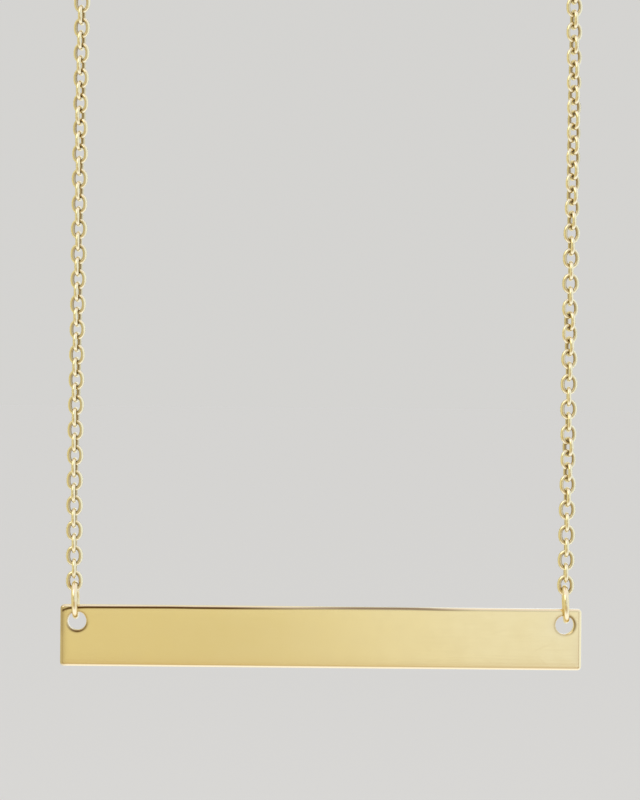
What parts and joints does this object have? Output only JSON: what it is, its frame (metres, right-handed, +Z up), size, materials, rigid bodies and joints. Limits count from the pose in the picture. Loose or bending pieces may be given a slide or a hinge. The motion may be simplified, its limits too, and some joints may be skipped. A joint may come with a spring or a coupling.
{
  "type": "bar pendant necklace",
  "caption": "Slim bar pendant with rounded edges, hung level from a ring through a hole at each end, on a whole loop of fine oval-link cable chain closed by a spring ring clasp.",
  "frame": {"origin": "top of the support that the loop hangs over, under the clasp, halfway between the two sides of the chain", "axes": "+Z up, along the hanging chain; X along the bar, with the loop in the XZ plane; the bar's front faces -Y"},
  "size_m": [0.034, 0.0058, 0.1809],
  "materials": {
    "bar_gold": "polished pale gold plate",
    "ring_gold": "polished gold plate",
    "chain_gold": "polished gold plate",
    "clasp_gold": "polished gold plate"
  },
  "bodies": {
    "loop": {"bar_ring_left": "ring_gold", "bar_ring_right": "ring_gold", "chain_front_left": "chain_gold", "chain_front_right": "chain_gold", "chain_back_left": "chain_gold", "chain_back_right": "chain_gold", "clasp": "clasp_gold", "clasp_ring": "ring_gold", "end_ring": "ring_gold"},
    "bar": {"bar": "bar_gold"}
  },
  "joints": [
    {"name": "bar_swing", "type": "hinge", "parent": "loop", "child": "bar", "pos_m": [0, 0, -0.17467], "axis": [1, 0, 0], "range_deg": [-110, 110]}
  ]
}
